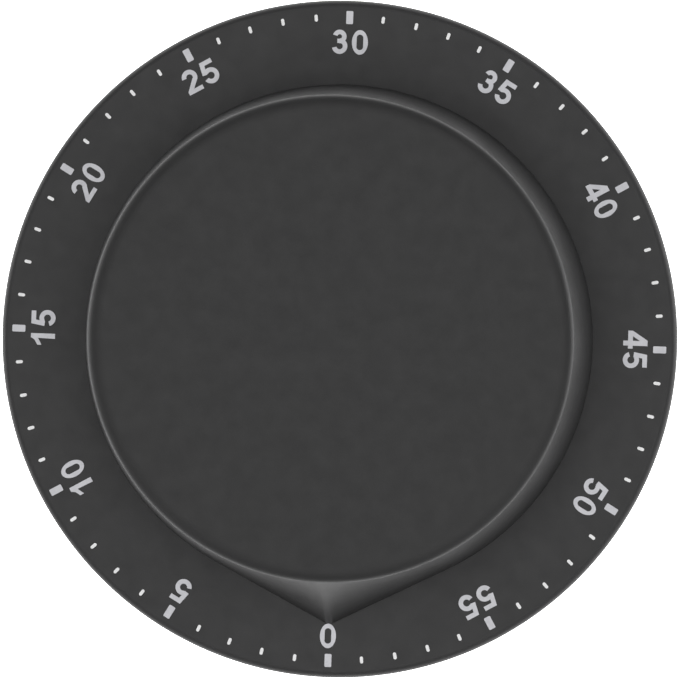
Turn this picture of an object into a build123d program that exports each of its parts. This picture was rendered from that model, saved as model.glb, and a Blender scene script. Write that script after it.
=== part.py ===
from build123d import *
import math
import os

os.makedirs("parts", exist_ok=True)

# A round 60 minute clockwork timer, lying on its back. Millimetres, +Z out of the dial,
# the zero mark towards -Y, z = 0 on the underside of the rubber feet.

# Case
CASE_R = 42.5
FACE_Z = 21.0
FACE_T = 2.0
FACE_EDGE_R = 0.9
SKIRT_BOTTOM_Z = 13.0
SKIRT_FOOT_R = 41.3
SKIRT_T = 1.8
HUB_HOLE_R = 5.5
BASE_BOTTOM_Z = 0.8
BASE_FLOOR_Z = 2.8
BASE_FOOT_R = 38.8
BASE_SHOULDER_R = 40.8
BASE_SHOULDER_Z = 12.2
BASE_LIP_R = 39.3
BASE_LIP_T = 1.4
BASE_LIP_TOP_Z = 15.0
BASE_WALL_T = 2.0
CASE_SCREW_R = 34.0
CASE_SCREW_ANGLES = (45, 135, 225, 315)
POST_TOP_Z = 8.0
FOOT_R = 3.5
FOOT_ORBIT_R = 32.0
FOOT_ANGLES = (0, 90, 180, 270)
FOOT_TOP_Z = 1.4
MAGNET_R = 6.0
MAGNET_X = 14.0
MAGNET_Z = (0.9, 2.9)

# Dial marks
MARK_H = 0.05
MARK_COUNT = 60
MAJOR_MARK = (39.52, 41.16, 0.86)
MINOR_MARK = (39.92, 40.80, 0.40)
NUMERAL_R = 37.27
NUMERAL_ADVANCE = 2.54
NUMERAL_SHIFT = 0.11
DIGIT_H = 3.04
DIGIT_W = 2.02
STROKE = 0.58

# Knob
KNOB_BOTTOM_Z = 21.3
KNOB_BASE_R = 31.92
KNOB_TOP_Z = 35.2
KNOB_TAPER = 6.0
KNOB_EDGE_W = 2.0
KNOB_EDGE_H = 0.9
POINTER_R = 35.65
POINTER_TIP_W = 0.6
KNOB_WALL_T = 1.9
KNOB_CAVITY_TOP_Z = 33.1
KNOB_HUB_R = 4.6
KNOB_HUB_Z = 21.9
RIB_Z = 24.4
RIB_T = 1.2
RIB_COUNT = 6

# Movement
BACK_PLATE_Z = (9.0, 10.0)
FRONT_PLATE_Z = (18.0, 19.0)
PLATE_R = 27.5
PIVOT_R = 0.5
ARBOR_R = 0.75
RUN_FIT = 0.05
END_SHAKE = 0.1
PILLAR_ORBIT_R = 25.0
PILLAR_R = 1.8
PILLAR_SPIGOT_R = 1.0
PILLAR_ANGLES = (45, 165, 285)
MOVEMENT_SCREW_R = 24.0
MOVEMENT_SCREW_ANGLES = (80, 200, 320)
MAIN_ARBOR_R = 2.5
MAIN_LOWER_PIVOT_R = 1.5
MAIN_UPPER_R = 2.0
MAIN_WHEEL_Z = (13.3, 14.1)
CAM_Z = (14.6, 15.4)
CAM_R = 4.5
SPRING_Z = (10.3, 12.9)
SPRING_T = 0.22
SPRING_START_R = 2.95
SPRING_STEP = 0.31
SPRING_HALF_TURNS = 28

# Gears: teeth and module
MAIN_TEETH = 72
MAIN_MODULE = 0.4
WHEEL_TEETH = 60
WHEEL_MODULE = 0.3
PINION_TEETH = 8
SECOND_WHEEL_Z = (14.7, 15.3)
SECOND_PINION_Z = (12.9, 14.5)
THIRD_WHEEL_Z = (15.8, 16.4)
THIRD_PINION_Z = (14.5, 15.6)
ESCAPE_PINION_Z = (15.6, 16.8)
ESCAPE_WHEEL_Z = (14.6, 15.2)
ESCAPE_TEETH = 16
ESCAPE_TIP_R = 5.0
ESCAPE_ROOT_R = 4.0

# Arbor positions as polar radius and angle about the main arbor
SECOND_ORBIT_R = (MAIN_TEETH + PINION_TEETH) * MAIN_MODULE / 2
TRAIN_CENTRES = (WHEEL_TEETH + PINION_TEETH) * WHEEL_MODULE / 2
THIRD_ORBIT_R = 16.2
ESCAPE_ORBIT_R = 16.2
PALLET_ORBIT_R = 18.5
PALLET_CENTRES = 7.0
SECOND_ANGLE = 110.0

# Pallet
PALLET_PIN_R = 0.2
PALLET_PIN_ORBIT = ESCAPE_TIP_R + PALLET_PIN_R + 0.06
PALLET_PIN_SPREAD = 28.125
PALLET_Z = (16.0, 16.6)
PALLET_PIN_Z = (14.4, 16.6)

# Hammer and gong
GONG_R = 24.0
GONG_T = 0.8
GONG_Z = (3.2, 7.0)
HAMMER_ORBIT_R = 25.6
HAMMER_ANGLE = 225.0
HAMMER_Z = (14.6, 15.3)
HEAD_R = 2.0
HEAD_ORBIT_R = GONG_R + HEAD_R + 0.1
HEAD_ANGLE = 193.0
HEAD_Z = (3.8, 6.8)
TAIL_HALF_W = 0.8
TAIL_GAP = 0.15


def neighbour_angle(angle, radius_a, radius_b, distance):
    """Angle of a point on radius_b that lies the given distance clockwise of a point on radius_a."""
    cosine = (radius_a ** 2 + radius_b ** 2 - distance ** 2) / (2 * radius_a * radius_b)
    return angle - math.degrees(math.acos(cosine))


THIRD_ANGLE = neighbour_angle(SECOND_ANGLE, SECOND_ORBIT_R, THIRD_ORBIT_R, TRAIN_CENTRES)
ESCAPE_ANGLE = neighbour_angle(THIRD_ANGLE, THIRD_ORBIT_R, ESCAPE_ORBIT_R, TRAIN_CENTRES)
PALLET_ANGLE = neighbour_angle(ESCAPE_ANGLE, ESCAPE_ORBIT_R, PALLET_ORBIT_R, PALLET_CENTRES)


def polar(radius, angle):
    """Point at a polar radius and an angle in degrees."""
    return (radius * math.cos(math.radians(angle)), radius * math.sin(math.radians(angle)))


def direction(start, end):
    """Angle in degrees of the line from start to end."""
    return math.degrees(math.atan2(end[1] - start[1], end[0] - start[0]))


CENTRE = (0.0, 0.0)
SECOND = polar(SECOND_ORBIT_R, SECOND_ANGLE)
THIRD = polar(THIRD_ORBIT_R, THIRD_ANGLE)
ESCAPE = polar(ESCAPE_ORBIT_R, ESCAPE_ANGLE)
PALLET = polar(PALLET_ORBIT_R, PALLET_ANGLE)
HAMMER = polar(HAMMER_ORBIT_R, HAMMER_ANGLE)
HEAD = polar(HEAD_ORBIT_R, HEAD_ANGLE)


def disc(radius, z_low, z_high, at=CENTRE):
    """Upright cylinder between two heights."""
    height = z_high - z_low
    return Pos(at[0], at[1], z_low) * Cylinder(radius, height, align=(Align.CENTER, Align.CENTER, Align.MIN))


def ring(outer, inner, z_low, z_high, at=CENTRE):
    """Upright tube between two heights."""
    return disc(outer, z_low, z_high, at) - disc(inner, z_low, z_high, at)


def discs(radius, z_low, z_high, orbit, angles):
    """Equal cylinders round the main axis."""
    return [disc(radius, z_low, z_high, polar(orbit, angle)) for angle in angles]


def slab(outline, z_low, z_high):
    """Flat plate of a closed outline between two heights."""
    return Pos(0, 0, z_low) * extrude(outline, z_high - z_low)


def turned(points):
    """Solid of revolution about Z from (radius, z) points."""
    profile = Polyline(*[(r, 0, z) for r, z in points], close=True)
    return revolve(make_face(profile), Axis.Z, 360)


def save(name, solids):
    """Write one node; a list becomes a compound of separate solids."""
    shape = Compound(children=list(solids)) if isinstance(solids, list) else solids
    export_step(shape, f"parts/{name}.step")
    print(name)


def bar(start, end, half_width, z_low, z_high):
    """Flat bar with round ends between two points."""
    length = math.hypot(end[0] - start[0], end[1] - start[1])
    middle = ((start[0] + end[0]) / 2, (start[1] + end[1]) / 2)
    body = Pos(*middle) * Rot(0, 0, direction(start, end)) * Rectangle(length, 2 * half_width)
    ends = Pos(*start) * Circle(half_width) + Pos(*end) * Circle(half_width)
    return slab(body + ends, z_low, z_high)


# ---------------------------------------------------------------- case

def front_housing():
    """Dial ring, scale face and tapered skirt, with screw bosses under and over the face."""
    edge = FACE_EDGE_R
    inner = SKIRT_FOOT_R - SKIRT_T
    under = FACE_Z - FACE_T
    bend = edge * (1 - math.sqrt(0.5))
    top = Line((HUB_HOLE_R, 0, FACE_Z), (CASE_R - edge, 0, FACE_Z))
    rim = ThreePointArc((CASE_R - edge, 0, FACE_Z), (CASE_R - bend, 0, FACE_Z - bend),
                        (CASE_R, 0, FACE_Z - edge))
    rest = Polyline((CASE_R, 0, FACE_Z - edge), (SKIRT_FOOT_R, 0, SKIRT_BOTTOM_Z), (inner, 0, SKIRT_BOTTOM_Z),
                    (inner, 0, under), (HUB_HOLE_R, 0, under), (HUB_HOLE_R, 0, FACE_Z))
    shell = revolve(make_face([top, rim, rest]), Axis.Z, 360)
    shell += discs(3.0, POST_TOP_Z, under, CASE_SCREW_R, CASE_SCREW_ANGLES)
    shell -= discs(1.1, POST_TOP_Z, under - 1.0, CASE_SCREW_R, CASE_SCREW_ANGLES)
    shell += discs(2.6, FACE_Z, FACE_Z + 2.2, MOVEMENT_SCREW_R, MOVEMENT_SCREW_ANGLES)
    shell -= discs(0.9, under, FACE_Z + 1.4, MOVEMENT_SCREW_R, MOVEMENT_SCREW_ANGLES)
    return shell


def base_housing():
    """Rear cup with magnet pockets, foot recesses, a gong boss and screw posts."""
    foot_inner = BASE_FOOT_R - BASE_WALL_T
    lip_inner = BASE_LIP_R - BASE_LIP_T
    cup = turned([
        (0, BASE_BOTTOM_Z), (BASE_FOOT_R - 1.0, BASE_BOTTOM_Z), (BASE_FOOT_R, BASE_BOTTOM_Z + 1.0),
        (BASE_SHOULDER_R, BASE_SHOULDER_Z), (BASE_LIP_R, BASE_SHOULDER_Z), (BASE_LIP_R, BASE_LIP_TOP_Z),
        (lip_inner, BASE_LIP_TOP_Z), (lip_inner, BASE_SHOULDER_Z),
        (foot_inner, BASE_FLOOR_Z + 0.6), (foot_inner - 0.6, BASE_FLOOR_Z), (0, BASE_FLOOR_Z)])
    cup += [disc(MAGNET_R + 1.5, BASE_FLOOR_Z - 0.5, 3.9, (x, 0)) for x in (-MAGNET_X, MAGNET_X)]
    cup -= [disc(MAGNET_R + 0.05, BASE_BOTTOM_Z, MAGNET_Z[1], (x, 0)) for x in (-MAGNET_X, MAGNET_X)]
    cup += disc(5.0, BASE_FLOOR_Z - 0.5, GONG_Z[1] - GONG_T)
    cup -= disc(1.3, 3.4, GONG_Z[1] - GONG_T)
    cup += discs(3.6, BASE_FLOOR_Z - 0.5, POST_TOP_Z, CASE_SCREW_R, CASE_SCREW_ANGLES)
    cup -= discs(2.9, BASE_BOTTOM_Z, 4.4, CASE_SCREW_R, CASE_SCREW_ANGLES)
    cup -= discs(1.6, 4.4, POST_TOP_Z, CASE_SCREW_R, CASE_SCREW_ANGLES)
    cup -= discs(FOOT_R + 0.05, BASE_BOTTOM_Z, FOOT_TOP_Z, FOOT_ORBIT_R, FOOT_ANGLES)
    return cup


def rubber_feet():
    """Four glued pads under the base."""
    pads = []
    for angle in FOOT_ANGLES:
        pad = disc(FOOT_R, 0, FOOT_TOP_Z, polar(FOOT_ORBIT_R, angle))
        pads.append(chamfer(pad.edges().sort_by(Axis.Z)[0], 0.3))
    return pads


def magnets():
    """Two disc magnets glued in the back."""
    return [disc(MAGNET_R, *MAGNET_Z, (x, 0)) for x in (-MAGNET_X, MAGNET_X)]


def pan_screw(at, head_r, head_low, head_high, shank_r, shank_end, slot_on_top):
    """Pan head screw with a cross recess; the shank leaves the side away from the recess."""
    head = disc(head_r, head_low, head_high, at)
    outer_z = head_high if slot_on_top else head_low
    inner_z = head_low if slot_on_top else head_high
    head = chamfer(head.edges().filter_by(lambda e: abs(e.center().Z - outer_z) < 0.01), 0.25)
    shank = disc(shank_r, min(inner_z, shank_end), max(inner_z, shank_end), at)
    screw = head + shank
    depth = 0.6 * (head_high - head_low)
    middle = outer_z - depth / 2 if slot_on_top else outer_z + depth / 2
    for turn in (0, 90):
        screw -= Pos(at[0], at[1], middle) * Rot(0, 0, turn) * Box(head_r, 0.28 * head_r, depth)
    return screw


def housing_screws():
    """Four case screws, driven from the back."""
    spots = [polar(CASE_SCREW_R, angle) for angle in CASE_SCREW_ANGLES]
    return [pan_screw(at, 2.6, 2.6, 4.4, 1.1, 15.0, False) for at in spots]


def movement_screws():
    """Three screws that hold the movement under the dial face."""
    spots = [polar(MOVEMENT_SCREW_R, angle) for angle in MOVEMENT_SCREW_ANGLES]
    return [pan_screw(at, 2.0, 16.9, FRONT_PLATE_Z[0], 0.9, FACE_Z + 1.2, False) for at in spots]


# ---------------------------------------------------------------- scale

def scale_mark(number, low, high, width, square):
    """One raised mark of the scale, square or round ended."""
    outline = RectangleRounded(high - low, width, 0.14) if square else SlotOverall(high - low, width)
    place = Rot(0, 0, -90 - 6 * number) * Pos((low + high) / 2, 0, FACE_Z)
    return place * extrude(outline, MARK_H)


def five_minute_marks():
    """Twelve broad marks at the numerals."""
    return [scale_mark(number, *MAJOR_MARK, True) for number in range(0, MARK_COUNT, 5)]


def minute_marks():
    """Fine marks for the minutes between."""
    return [scale_mark(number, *MINOR_MARK, False) for number in range(MARK_COUNT) if number % 5]


def arc_band(cx, cy, outer, inner, start, size):
    """Part of a flat ring from a start angle through a size in degrees."""
    far = CenterArc((cx, cy), outer, start, size)
    near = CenterArc((cx, cy), inner, start, size)
    sides = [Line(far @ 0, near @ 0), Line(far @ 1, near @ 1)]
    return make_face([far, near] + sides)


def outline_of(*points):
    """Flat face of straight strokes."""
    return make_face(Polyline(*points, close=True))


def digit_outline(figure):
    """Flat bold figure, centred on its cell."""
    w = DIGIT_W / 2
    h = DIGIT_H / 2
    s = STROKE
    if figure == 0:
        return Ellipse(w, h + 0.02) - Rot(0, 0, 90) * SlotOverall(2 * h - 1.1, 2 * w - 2 * s - 0.02)
    if figure == 1:
        stem = outline_of((-0.04, -h), (0.60, -h), (0.60, h), (0.06, h))
        flag = outline_of((0.10, h), (-0.2, h - 0.46), (-0.84, h - 0.84), (-0.84, h - 1.36), (0.1, h - 0.86))
        return stem + flag
    if figure == 2:
        cap = arc_band(0, h - 0.99, 0.99, 0.99 - s, -42, 216)
        slope = outline_of((0.29, 0.30), (0.74, -0.10), (-0.14, -0.98), (-0.14, -1.2),
                           (-w, -1.2), (-0.96, -1.03))
        return cap + slope + outline_of((-w, -h), (w, -h), (w, -0.98), (-w + 0.06, -0.98), (-w, -1.2))
    if figure == 3:
        upper = arc_band(-0.02, h - 0.86, 0.86, 0.29, -90, 256)
        lower = arc_band(0, -h + 0.98, 0.98, 0.98 - s, -166, 256)
        return upper + lower + outline_of((-0.3, -0.16), (0.1, -0.16), (0.1, 0.37), (-0.3, 0.37))
    if figure == 4:
        stem = outline_of((0.13, -h), (0.75, -h), (0.75, h), (0.13, h))
        barline = outline_of((-1.13, -0.93), (1.12, -0.93), (1.12, -0.33), (-1.13, -0.33))
        slope = outline_of((-1.13, -0.36), (-0.46, -0.36), (0.16, 0.60), (0.16, h), (0.06, h))
        return stem + barline + slope
    if figure == 5:
        flag = outline_of((-0.70, h), (0.90, h), (0.90, h - 0.58), (-0.22, h - 0.58), (-0.32, 0.38),
                          (-0.30, -0.12), (-0.42, -0.20), (-1.0, -0.12))
        return flag + arc_band(0, -h + 1.02, 1.02, 1.02 - s, -163, 289)
    raise ValueError(figure)


def scale_numerals():
    """Raised figures 0 to 55 in fives, their tops pointing outwards."""
    solids = []
    for number in range(0, 60, 5):
        figures = [int(letter) for letter in str(number)]
        turn = Rot(0, 0, -90 - 6 * number)
        for place, figure in enumerate(figures):
            along = (place - (len(figures) - 1) / 2) * NUMERAL_ADVANCE + NUMERAL_SHIFT
            spot = Pos(NUMERAL_R, -along, FACE_Z) * Rot(0, 0, -90)
            solids.append(turn * spot * extrude(digit_outline(figure), MARK_H))
    return solids


# ---------------------------------------------------------------- knob

def knob_edge():
    """Centre of the elliptic top edge and the point where it runs into the wall, as (radius, z) pairs."""
    taper = math.radians(KNOB_TAPER)
    swing = math.atan(KNOB_EDGE_H / KNOB_EDGE_W * math.tan(taper))
    centre_z = KNOB_TOP_Z - KNOB_EDGE_H
    foot_z = centre_z + KNOB_EDGE_H * math.sin(swing)
    foot_r = KNOB_BASE_R - (foot_z - KNOB_BOTTOM_Z) * math.tan(taper)
    return (foot_r - KNOB_EDGE_W * math.cos(swing), centre_z), (foot_r, foot_z)


def knob_wall():
    """Outer body of the knob: a base drawn out to a blunt pointer, ruled up to a round top."""
    low = KNOB_BOTTOM_Z
    top_r, high = knob_edge()[1]
    half = POINTER_TIP_W / 2
    swing = math.degrees(math.acos(KNOB_BASE_R / POINTER_R))
    blunt = math.degrees(math.asin(half / top_r))
    angles = [-90 + swing, -90 - swing, -90 - blunt, -90 + blunt]
    base = [(*polar(KNOB_BASE_R, angles[0]), low), (*polar(KNOB_BASE_R, angles[1]), low),
            (-half, -POINTER_R, low), (half, -POINTER_R, low)]
    rim = [(*polar(top_r, angle), high) for angle in angles]
    arc = Edge.make_three_point_arc
    line = Edge.make_line
    base_edges = [arc(base[0], (0, KNOB_BASE_R, low), base[1]), line(base[1], base[2]),
                  line(base[2], base[3]), line(base[3], base[0])]
    rim_edges = [arc(rim[0], (0, top_r, high), rim[1])]
    for one, two in ((1, 2), (2, 3), (3, 0)):
        turn = (angles[one] + angles[two]) / 2
        rim_edges.append(arc(rim[one], (*polar(top_r, turn), high), rim[two]))
    sides = [Face.make_surface_from_curves(low_edge, high_edge)
             for low_edge, high_edge in zip(base_edges, rim_edges)]
    caps = [Face(Wire(base_edges)), Face(Wire(rim_edges))]
    return Solid(Shell(sides + caps))


def knob_cap():
    """Flat top of the knob with its rolled edge."""
    (centre_r, centre_z), (foot_r, foot_z) = knob_edge()
    height = KNOB_TOP_Z - foot_z
    flat = Pos(centre_r / 2, foot_z + height / 2) * Rectangle(centre_r, height)
    band = Pos(foot_r, foot_z + height / 2) * Rectangle(2 * (foot_r - centre_r), height)
    rolled = band & (Pos(centre_r, centre_z) * Ellipse(KNOB_EDGE_W, KNOB_EDGE_H))
    return revolve(Rot(90, 0, 0) * (flat + rolled), Axis.Z, 360)


def knob():
    """Hollow knob with a rolled edge, a pointer, a keyed hub and ribs."""
    shape = knob_wall() + knob_cap()
    cavity_r = KNOB_BASE_R - KNOB_WALL_T
    cavity_top_r = cavity_r - (KNOB_CAVITY_TOP_Z - KNOB_BOTTOM_Z) * math.tan(math.radians(KNOB_TAPER))
    shape -= turned([(0, KNOB_BOTTOM_Z), (cavity_r, KNOB_BOTTOM_Z),
                     (cavity_top_r, KNOB_CAVITY_TOP_Z - 0.8), (cavity_top_r - 0.8, KNOB_CAVITY_TOP_Z),
                     (0, KNOB_CAVITY_TOP_Z)])
    shape += disc(KNOB_HUB_R, KNOB_HUB_Z, KNOB_CAVITY_TOP_Z + 0.2)
    rib_length = cavity_top_r + 0.3
    rib_height = KNOB_CAVITY_TOP_Z + 0.2 - RIB_Z
    for index in range(RIB_COUNT):
        rib = Pos(rib_length / 2, 0, RIB_Z + rib_height / 2) * Box(rib_length, RIB_T, rib_height)
        shape += Rot(0, 0, 30 + index * 360 / RIB_COUNT) * rib
    return shape - main_arbor_key(KNOB_HUB_Z, 27.6)


def main_arbor_key(z_low, z_high):
    """Top of the main arbor with its flat."""
    return disc(MAIN_UPPER_R, z_low, z_high) - Pos(0, MAIN_UPPER_R + 0.9, (z_low + z_high) / 2) * Box(
        2 * MAIN_UPPER_R, 2.8, z_high - z_low)


def knob_clip():
    """Spring ring that grips the hub on the arbor."""
    band = ring(KNOB_HUB_R + 0.5, KNOB_HUB_R, 22.3, 24.2)
    return band - Pos(KNOB_HUB_R + 0.3, 0, 23.25) * Box(1.6, 1.2, 2.0)


# ---------------------------------------------------------------- movement frame

def bearing_holes(plate, z_low, z_high):
    """Pivot holes of the train, pallet and hammer arbors in one plate."""
    for at in (SECOND, THIRD, ESCAPE, PALLET, HAMMER):
        plate -= disc(PIVOT_R + RUN_FIT, z_low, z_high, at)
    for angle in PILLAR_ANGLES:
        plate -= disc(PILLAR_SPIGOT_R, z_low, z_high, polar(PILLAR_ORBIT_R, angle))
    return plate


def back_plate():
    """Rear movement plate with a notch for the hammer rod."""
    z_low, z_high = BACK_PLATE_Z
    plate = disc(PLATE_R, z_low, z_high)
    plate -= disc(MAIN_LOWER_PIVOT_R + RUN_FIT, z_low, z_high)
    notch = Rot(0, 0, HEAD_ANGLE) * Pos(HEAD_ORBIT_R + 1.4, 0, (z_low + z_high) / 2) * Box(5.2, 4.6, 2.0)
    return bearing_holes(plate - notch, z_low, z_high)


def front_plate():
    """Front movement plate, screwed under the dial face."""
    z_low, z_high = FRONT_PLATE_Z
    plate = disc(PLATE_R, z_low, z_high)
    plate -= disc(MAIN_UPPER_R + RUN_FIT, z_low, z_high)
    plate -= discs(1.05, z_low, z_high, MOVEMENT_SCREW_R, MOVEMENT_SCREW_ANGLES)
    return bearing_holes(plate, z_low, z_high)


def plate_pillars():
    """Three shouldered pillars between the plates."""
    solids = []
    for angle in PILLAR_ANGLES:
        at = polar(PILLAR_ORBIT_R, angle)
        body = disc(PILLAR_R, BACK_PLATE_Z[1], FRONT_PLATE_Z[0], at)
        solids.append(body + disc(PILLAR_SPIGOT_R, 7.7, FRONT_PLATE_Z[1], at))
    return solids


def pillar_nuts():
    """Hexagon nuts on the rear ends of the pillars."""
    solids = []
    for angle in PILLAR_ANGLES:
        at = polar(PILLAR_ORBIT_R, angle)
        outline = RegularPolygon(2.0, 6) - Circle(PILLAR_SPIGOT_R)
        solids.append(Pos(*at) * slab(outline, 7.9, BACK_PLATE_Z[0]))
    return solids


def mainspring():
    """Coiled strip from the arbor to a hook round one pillar."""
    half = SPRING_T / 2
    end_r = SPRING_START_R + SPRING_HALF_TURNS * SPRING_STEP
    hook_r = PILLAR_R + half + 0.03
    hook_x = end_r + hook_r
    hook_y = math.sqrt(PILLAR_ORBIT_R ** 2 - hook_x ** 2)
    edges = []
    for side in (half, -half):
        for k in range(SPRING_HALF_TURNS):
            centre = (0, 0) if k % 2 == 0 else (SPRING_STEP, 0)
            edges.append(CenterArc(centre, SPRING_START_R + k * SPRING_STEP + side, 180 * (k % 2), 180))
        edges.append(Line((end_r + side, 0), (end_r + side, hook_y)))
        edges.append(CenterArc((hook_x, hook_y), hook_r - side, 0, 180))
    edges.append(Line((SPRING_START_R - half, 0), (SPRING_START_R + half, 0)))
    edges.append(Line((hook_x + hook_r - half, hook_y), (hook_x + hook_r + half, hook_y)))
    turn = PILLAR_ANGLES[2] - math.degrees(math.atan2(hook_y, hook_x))
    return Rot(0, 0, turn) * slab(make_face(edges), *SPRING_Z)


# ---------------------------------------------------------------- gears

def tooth_outline(teeth, stations):
    """Closed gear outline from (radius, half thickness) stations up one flank of a tooth."""
    points = []
    for tooth in range(teeth):
        middle = 360 * tooth / teeth
        flank = [(radius, math.degrees(half / radius)) for radius, half in stations]
        points += [polar(radius, middle - turn) for radius, turn in flank]
        points += [polar(radius, middle + turn) for radius, turn in reversed(flank)]
    return make_face(Polyline(*points, close=True))


def wheel_stations(teeth, module):
    """Tooth shape of a wheel that drives a small pinion."""
    pitch_r = teeth * module / 2
    pitch = math.pi * module
    return [(pitch_r - 1.15 * module, 0.25 * pitch), (pitch_r, 0.20 * pitch),
            (pitch_r + 0.5 * module, 0.15 * pitch), (pitch_r + 0.85 * module, 0.07 * pitch)]


def pinion_stations(module):
    """Leaf shape of an eight leaf pinion."""
    pitch_r = PINION_TEETH * module / 2
    pitch = math.pi * module
    return [(pitch_r - 1.25 * module, 0.125 * pitch), (pitch_r, 0.175 * pitch),
            (pitch_r + 0.4 * module, 0.14 * pitch), (pitch_r + 0.65 * module, 0.07 * pitch)]


def wheel(teeth, module, z_range, bore, at, towards, hole_orbit, hole_r):
    """Toothed wheel with lightening holes and one tooth pointing along an angle."""
    outline = tooth_outline(teeth, wheel_stations(teeth, module)) - Circle(bore)
    outline -= [Pos(*polar(hole_orbit, 72 * index)) * Circle(hole_r) for index in range(5)]
    return Pos(*at) * Rot(0, 0, towards) * slab(outline, *z_range)


def pinion_arbor(at, module, pinion_z, gap_angle, seat_r, seat_z):
    """Arbor with two pivots, an eight leaf pinion and a wheel seat."""
    shake = END_SHAKE
    shaft = disc(PIVOT_R, BACK_PLATE_Z[0], FRONT_PLATE_Z[1])
    shaft += disc(ARBOR_R, BACK_PLATE_Z[1] + shake, pinion_z[0])
    shaft += disc(seat_r, *seat_z)
    leaves = slab(tooth_outline(PINION_TEETH, pinion_stations(module)), *pinion_z)
    turn = gap_angle + 180 / PINION_TEETH
    return Pos(*at) * Rot(0, 0, turn) * (shaft + leaves)


def main_arbor():
    """Arbor that carries the knob, the main wheel and the strike cam."""
    shape = disc(MAIN_LOWER_PIVOT_R, 8.7, BACK_PLATE_Z[1] + END_SHAKE)
    shape += disc(MAIN_ARBOR_R, BACK_PLATE_Z[1] + END_SHAKE, FRONT_PLATE_Z[0] - END_SHAKE)
    shape += disc(4.0, MAIN_WHEEL_Z[0] - 0.3, MAIN_WHEEL_Z[0])
    shape += disc(MAIN_UPPER_R, FRONT_PLATE_Z[0] - END_SHAKE, KNOB_HUB_Z)
    return shape + main_arbor_key(KNOB_HUB_Z, 27.5)


def main_wheel():
    """Large wheel driven by the spring through the clutch."""
    towards = direction(CENTRE, SECOND)
    return wheel(MAIN_TEETH, MAIN_MODULE, MAIN_WHEEL_Z, MAIN_ARBOR_R, CENTRE, towards, 9.0, 3.0)


def clutch_washer():
    """Friction washer pressed on the main wheel."""
    return ring(4.6, MAIN_ARBOR_R, MAIN_WHEEL_Z[1], MAIN_WHEEL_Z[1] + 0.5)


def strike_cam():
    """Notched cam that lets the hammer fall at zero."""
    notch_angle = tail_angle()
    cam = Circle(CAM_R) - Circle(MAIN_ARBOR_R)
    tooth = outline_of(polar(3.3, notch_angle), polar(5.2, notch_angle - 4), polar(5.4, notch_angle + 38))
    return slab(cam - tooth, *CAM_Z)


def second_arbor():
    """Second arbor, driven by the main wheel."""
    gap = direction(SECOND, CENTRE)
    return pinion_arbor(SECOND, MAIN_MODULE, SECOND_PINION_Z, gap, ARBOR_R, (SECOND_PINION_Z[1], 15.5))


def second_wheel():
    """Second wheel."""
    towards = direction(SECOND, THIRD)
    return wheel(WHEEL_TEETH, WHEEL_MODULE, SECOND_WHEEL_Z, ARBOR_R, SECOND, towards, 5.0, 1.9)


def third_arbor():
    """Third arbor, driven by the second wheel."""
    gap = direction(THIRD, SECOND)
    return pinion_arbor(THIRD, WHEEL_MODULE, THIRD_PINION_Z, gap, ARBOR_R, (THIRD_PINION_Z[1], 16.6))


def third_wheel():
    """Third wheel."""
    towards = direction(THIRD, ESCAPE)
    return wheel(WHEEL_TEETH, WHEEL_MODULE, THIRD_WHEEL_Z, ARBOR_R, THIRD, towards, 5.0, 1.9)


def escape_arbor():
    """Escape arbor, driven by the third wheel."""
    gap = direction(ESCAPE, THIRD)
    return pinion_arbor(ESCAPE, WHEEL_MODULE, ESCAPE_PINION_Z, gap, PIVOT_R, ESCAPE_PINION_Z)


def escape_wheel():
    """Sixteen pointed teeth, phased so that both pallet pins stand beside a tooth."""
    stations = [(ESCAPE_ROOT_R, 0.42), (ESCAPE_TIP_R, 0.09)]
    outline = tooth_outline(ESCAPE_TEETH, stations) - Circle(ARBOR_R)
    outline -= [Pos(*polar(2.4, 90 * index)) * Circle(0.8) for index in range(4)]
    towards = direction(ESCAPE, PALLET) + PALLET_PIN_SPREAD + 90 / ESCAPE_TEETH
    return Pos(*ESCAPE) * Rot(0, 0, towards) * slab(outline, *ESCAPE_WHEEL_Z)


# ---------------------------------------------------------------- pallet

def pallet_pin_spots():
    """Centres of the two pallet pins at mid swing."""
    middle = direction(ESCAPE, PALLET)
    spots = []
    for side in (1, -1):
        offset = polar(PALLET_PIN_ORBIT, middle + side * PALLET_PIN_SPREAD)
        spots.append((ESCAPE[0] + offset[0], ESCAPE[1] + offset[1]))
    return spots


def pallet_arbor():
    """Pallet arbor with its collar."""
    shaft = disc(PIVOT_R, BACK_PLATE_Z[0], FRONT_PLATE_Z[1], PALLET)
    shaft += disc(ARBOR_R, BACK_PLATE_Z[1] + END_SHAKE, FRONT_PLATE_Z[0] - END_SHAKE, PALLET)
    return shaft + disc(1.4, PALLET_Z[0] - 0.6, PALLET_Z[0], PALLET)


def pallet_lever():
    """V shaped lever with a counterweight tail."""
    middle = direction(ESCAPE, PALLET)
    tail = (PALLET[0] + polar(4.2, middle)[0], PALLET[1] + polar(4.2, middle)[1])
    lever = bar(PALLET, tail, 0.7, *PALLET_Z) + disc(1.5, *PALLET_Z, tail)
    for spot in pallet_pin_spots():
        lever += bar(PALLET, spot, 0.55, *PALLET_Z)
        lever -= disc(PALLET_PIN_R, *PALLET_Z, spot)
    lever += disc(1.4, *PALLET_Z, PALLET)
    return lever - disc(ARBOR_R, *PALLET_Z, PALLET)


def pallet_pins():
    """Two hard pins that the escape teeth push."""
    return [disc(PALLET_PIN_R, *PALLET_PIN_Z, spot) for spot in pallet_pin_spots()]


# ---------------------------------------------------------------- bell

def gong():
    """Bell cup, open towards the back."""
    low, high = GONG_Z
    t = GONG_T
    cup = turned([(1.5, high), (GONG_R - 1.6, high), (GONG_R - 0.5, high - 0.5), (GONG_R, high - 1.6),
                  (GONG_R, low), (GONG_R - t, low), (GONG_R - t, high - 1.8), (GONG_R - 1.2, high - 1.2),
                  (GONG_R - 1.9, high - t), (1.5, high - t)])
    return cup


def gong_screw():
    """Screw that holds the bell on its boss."""
    return pan_screw(CENTRE, 3.0, GONG_Z[1], 8.2, 1.3, 3.5, True)


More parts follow.
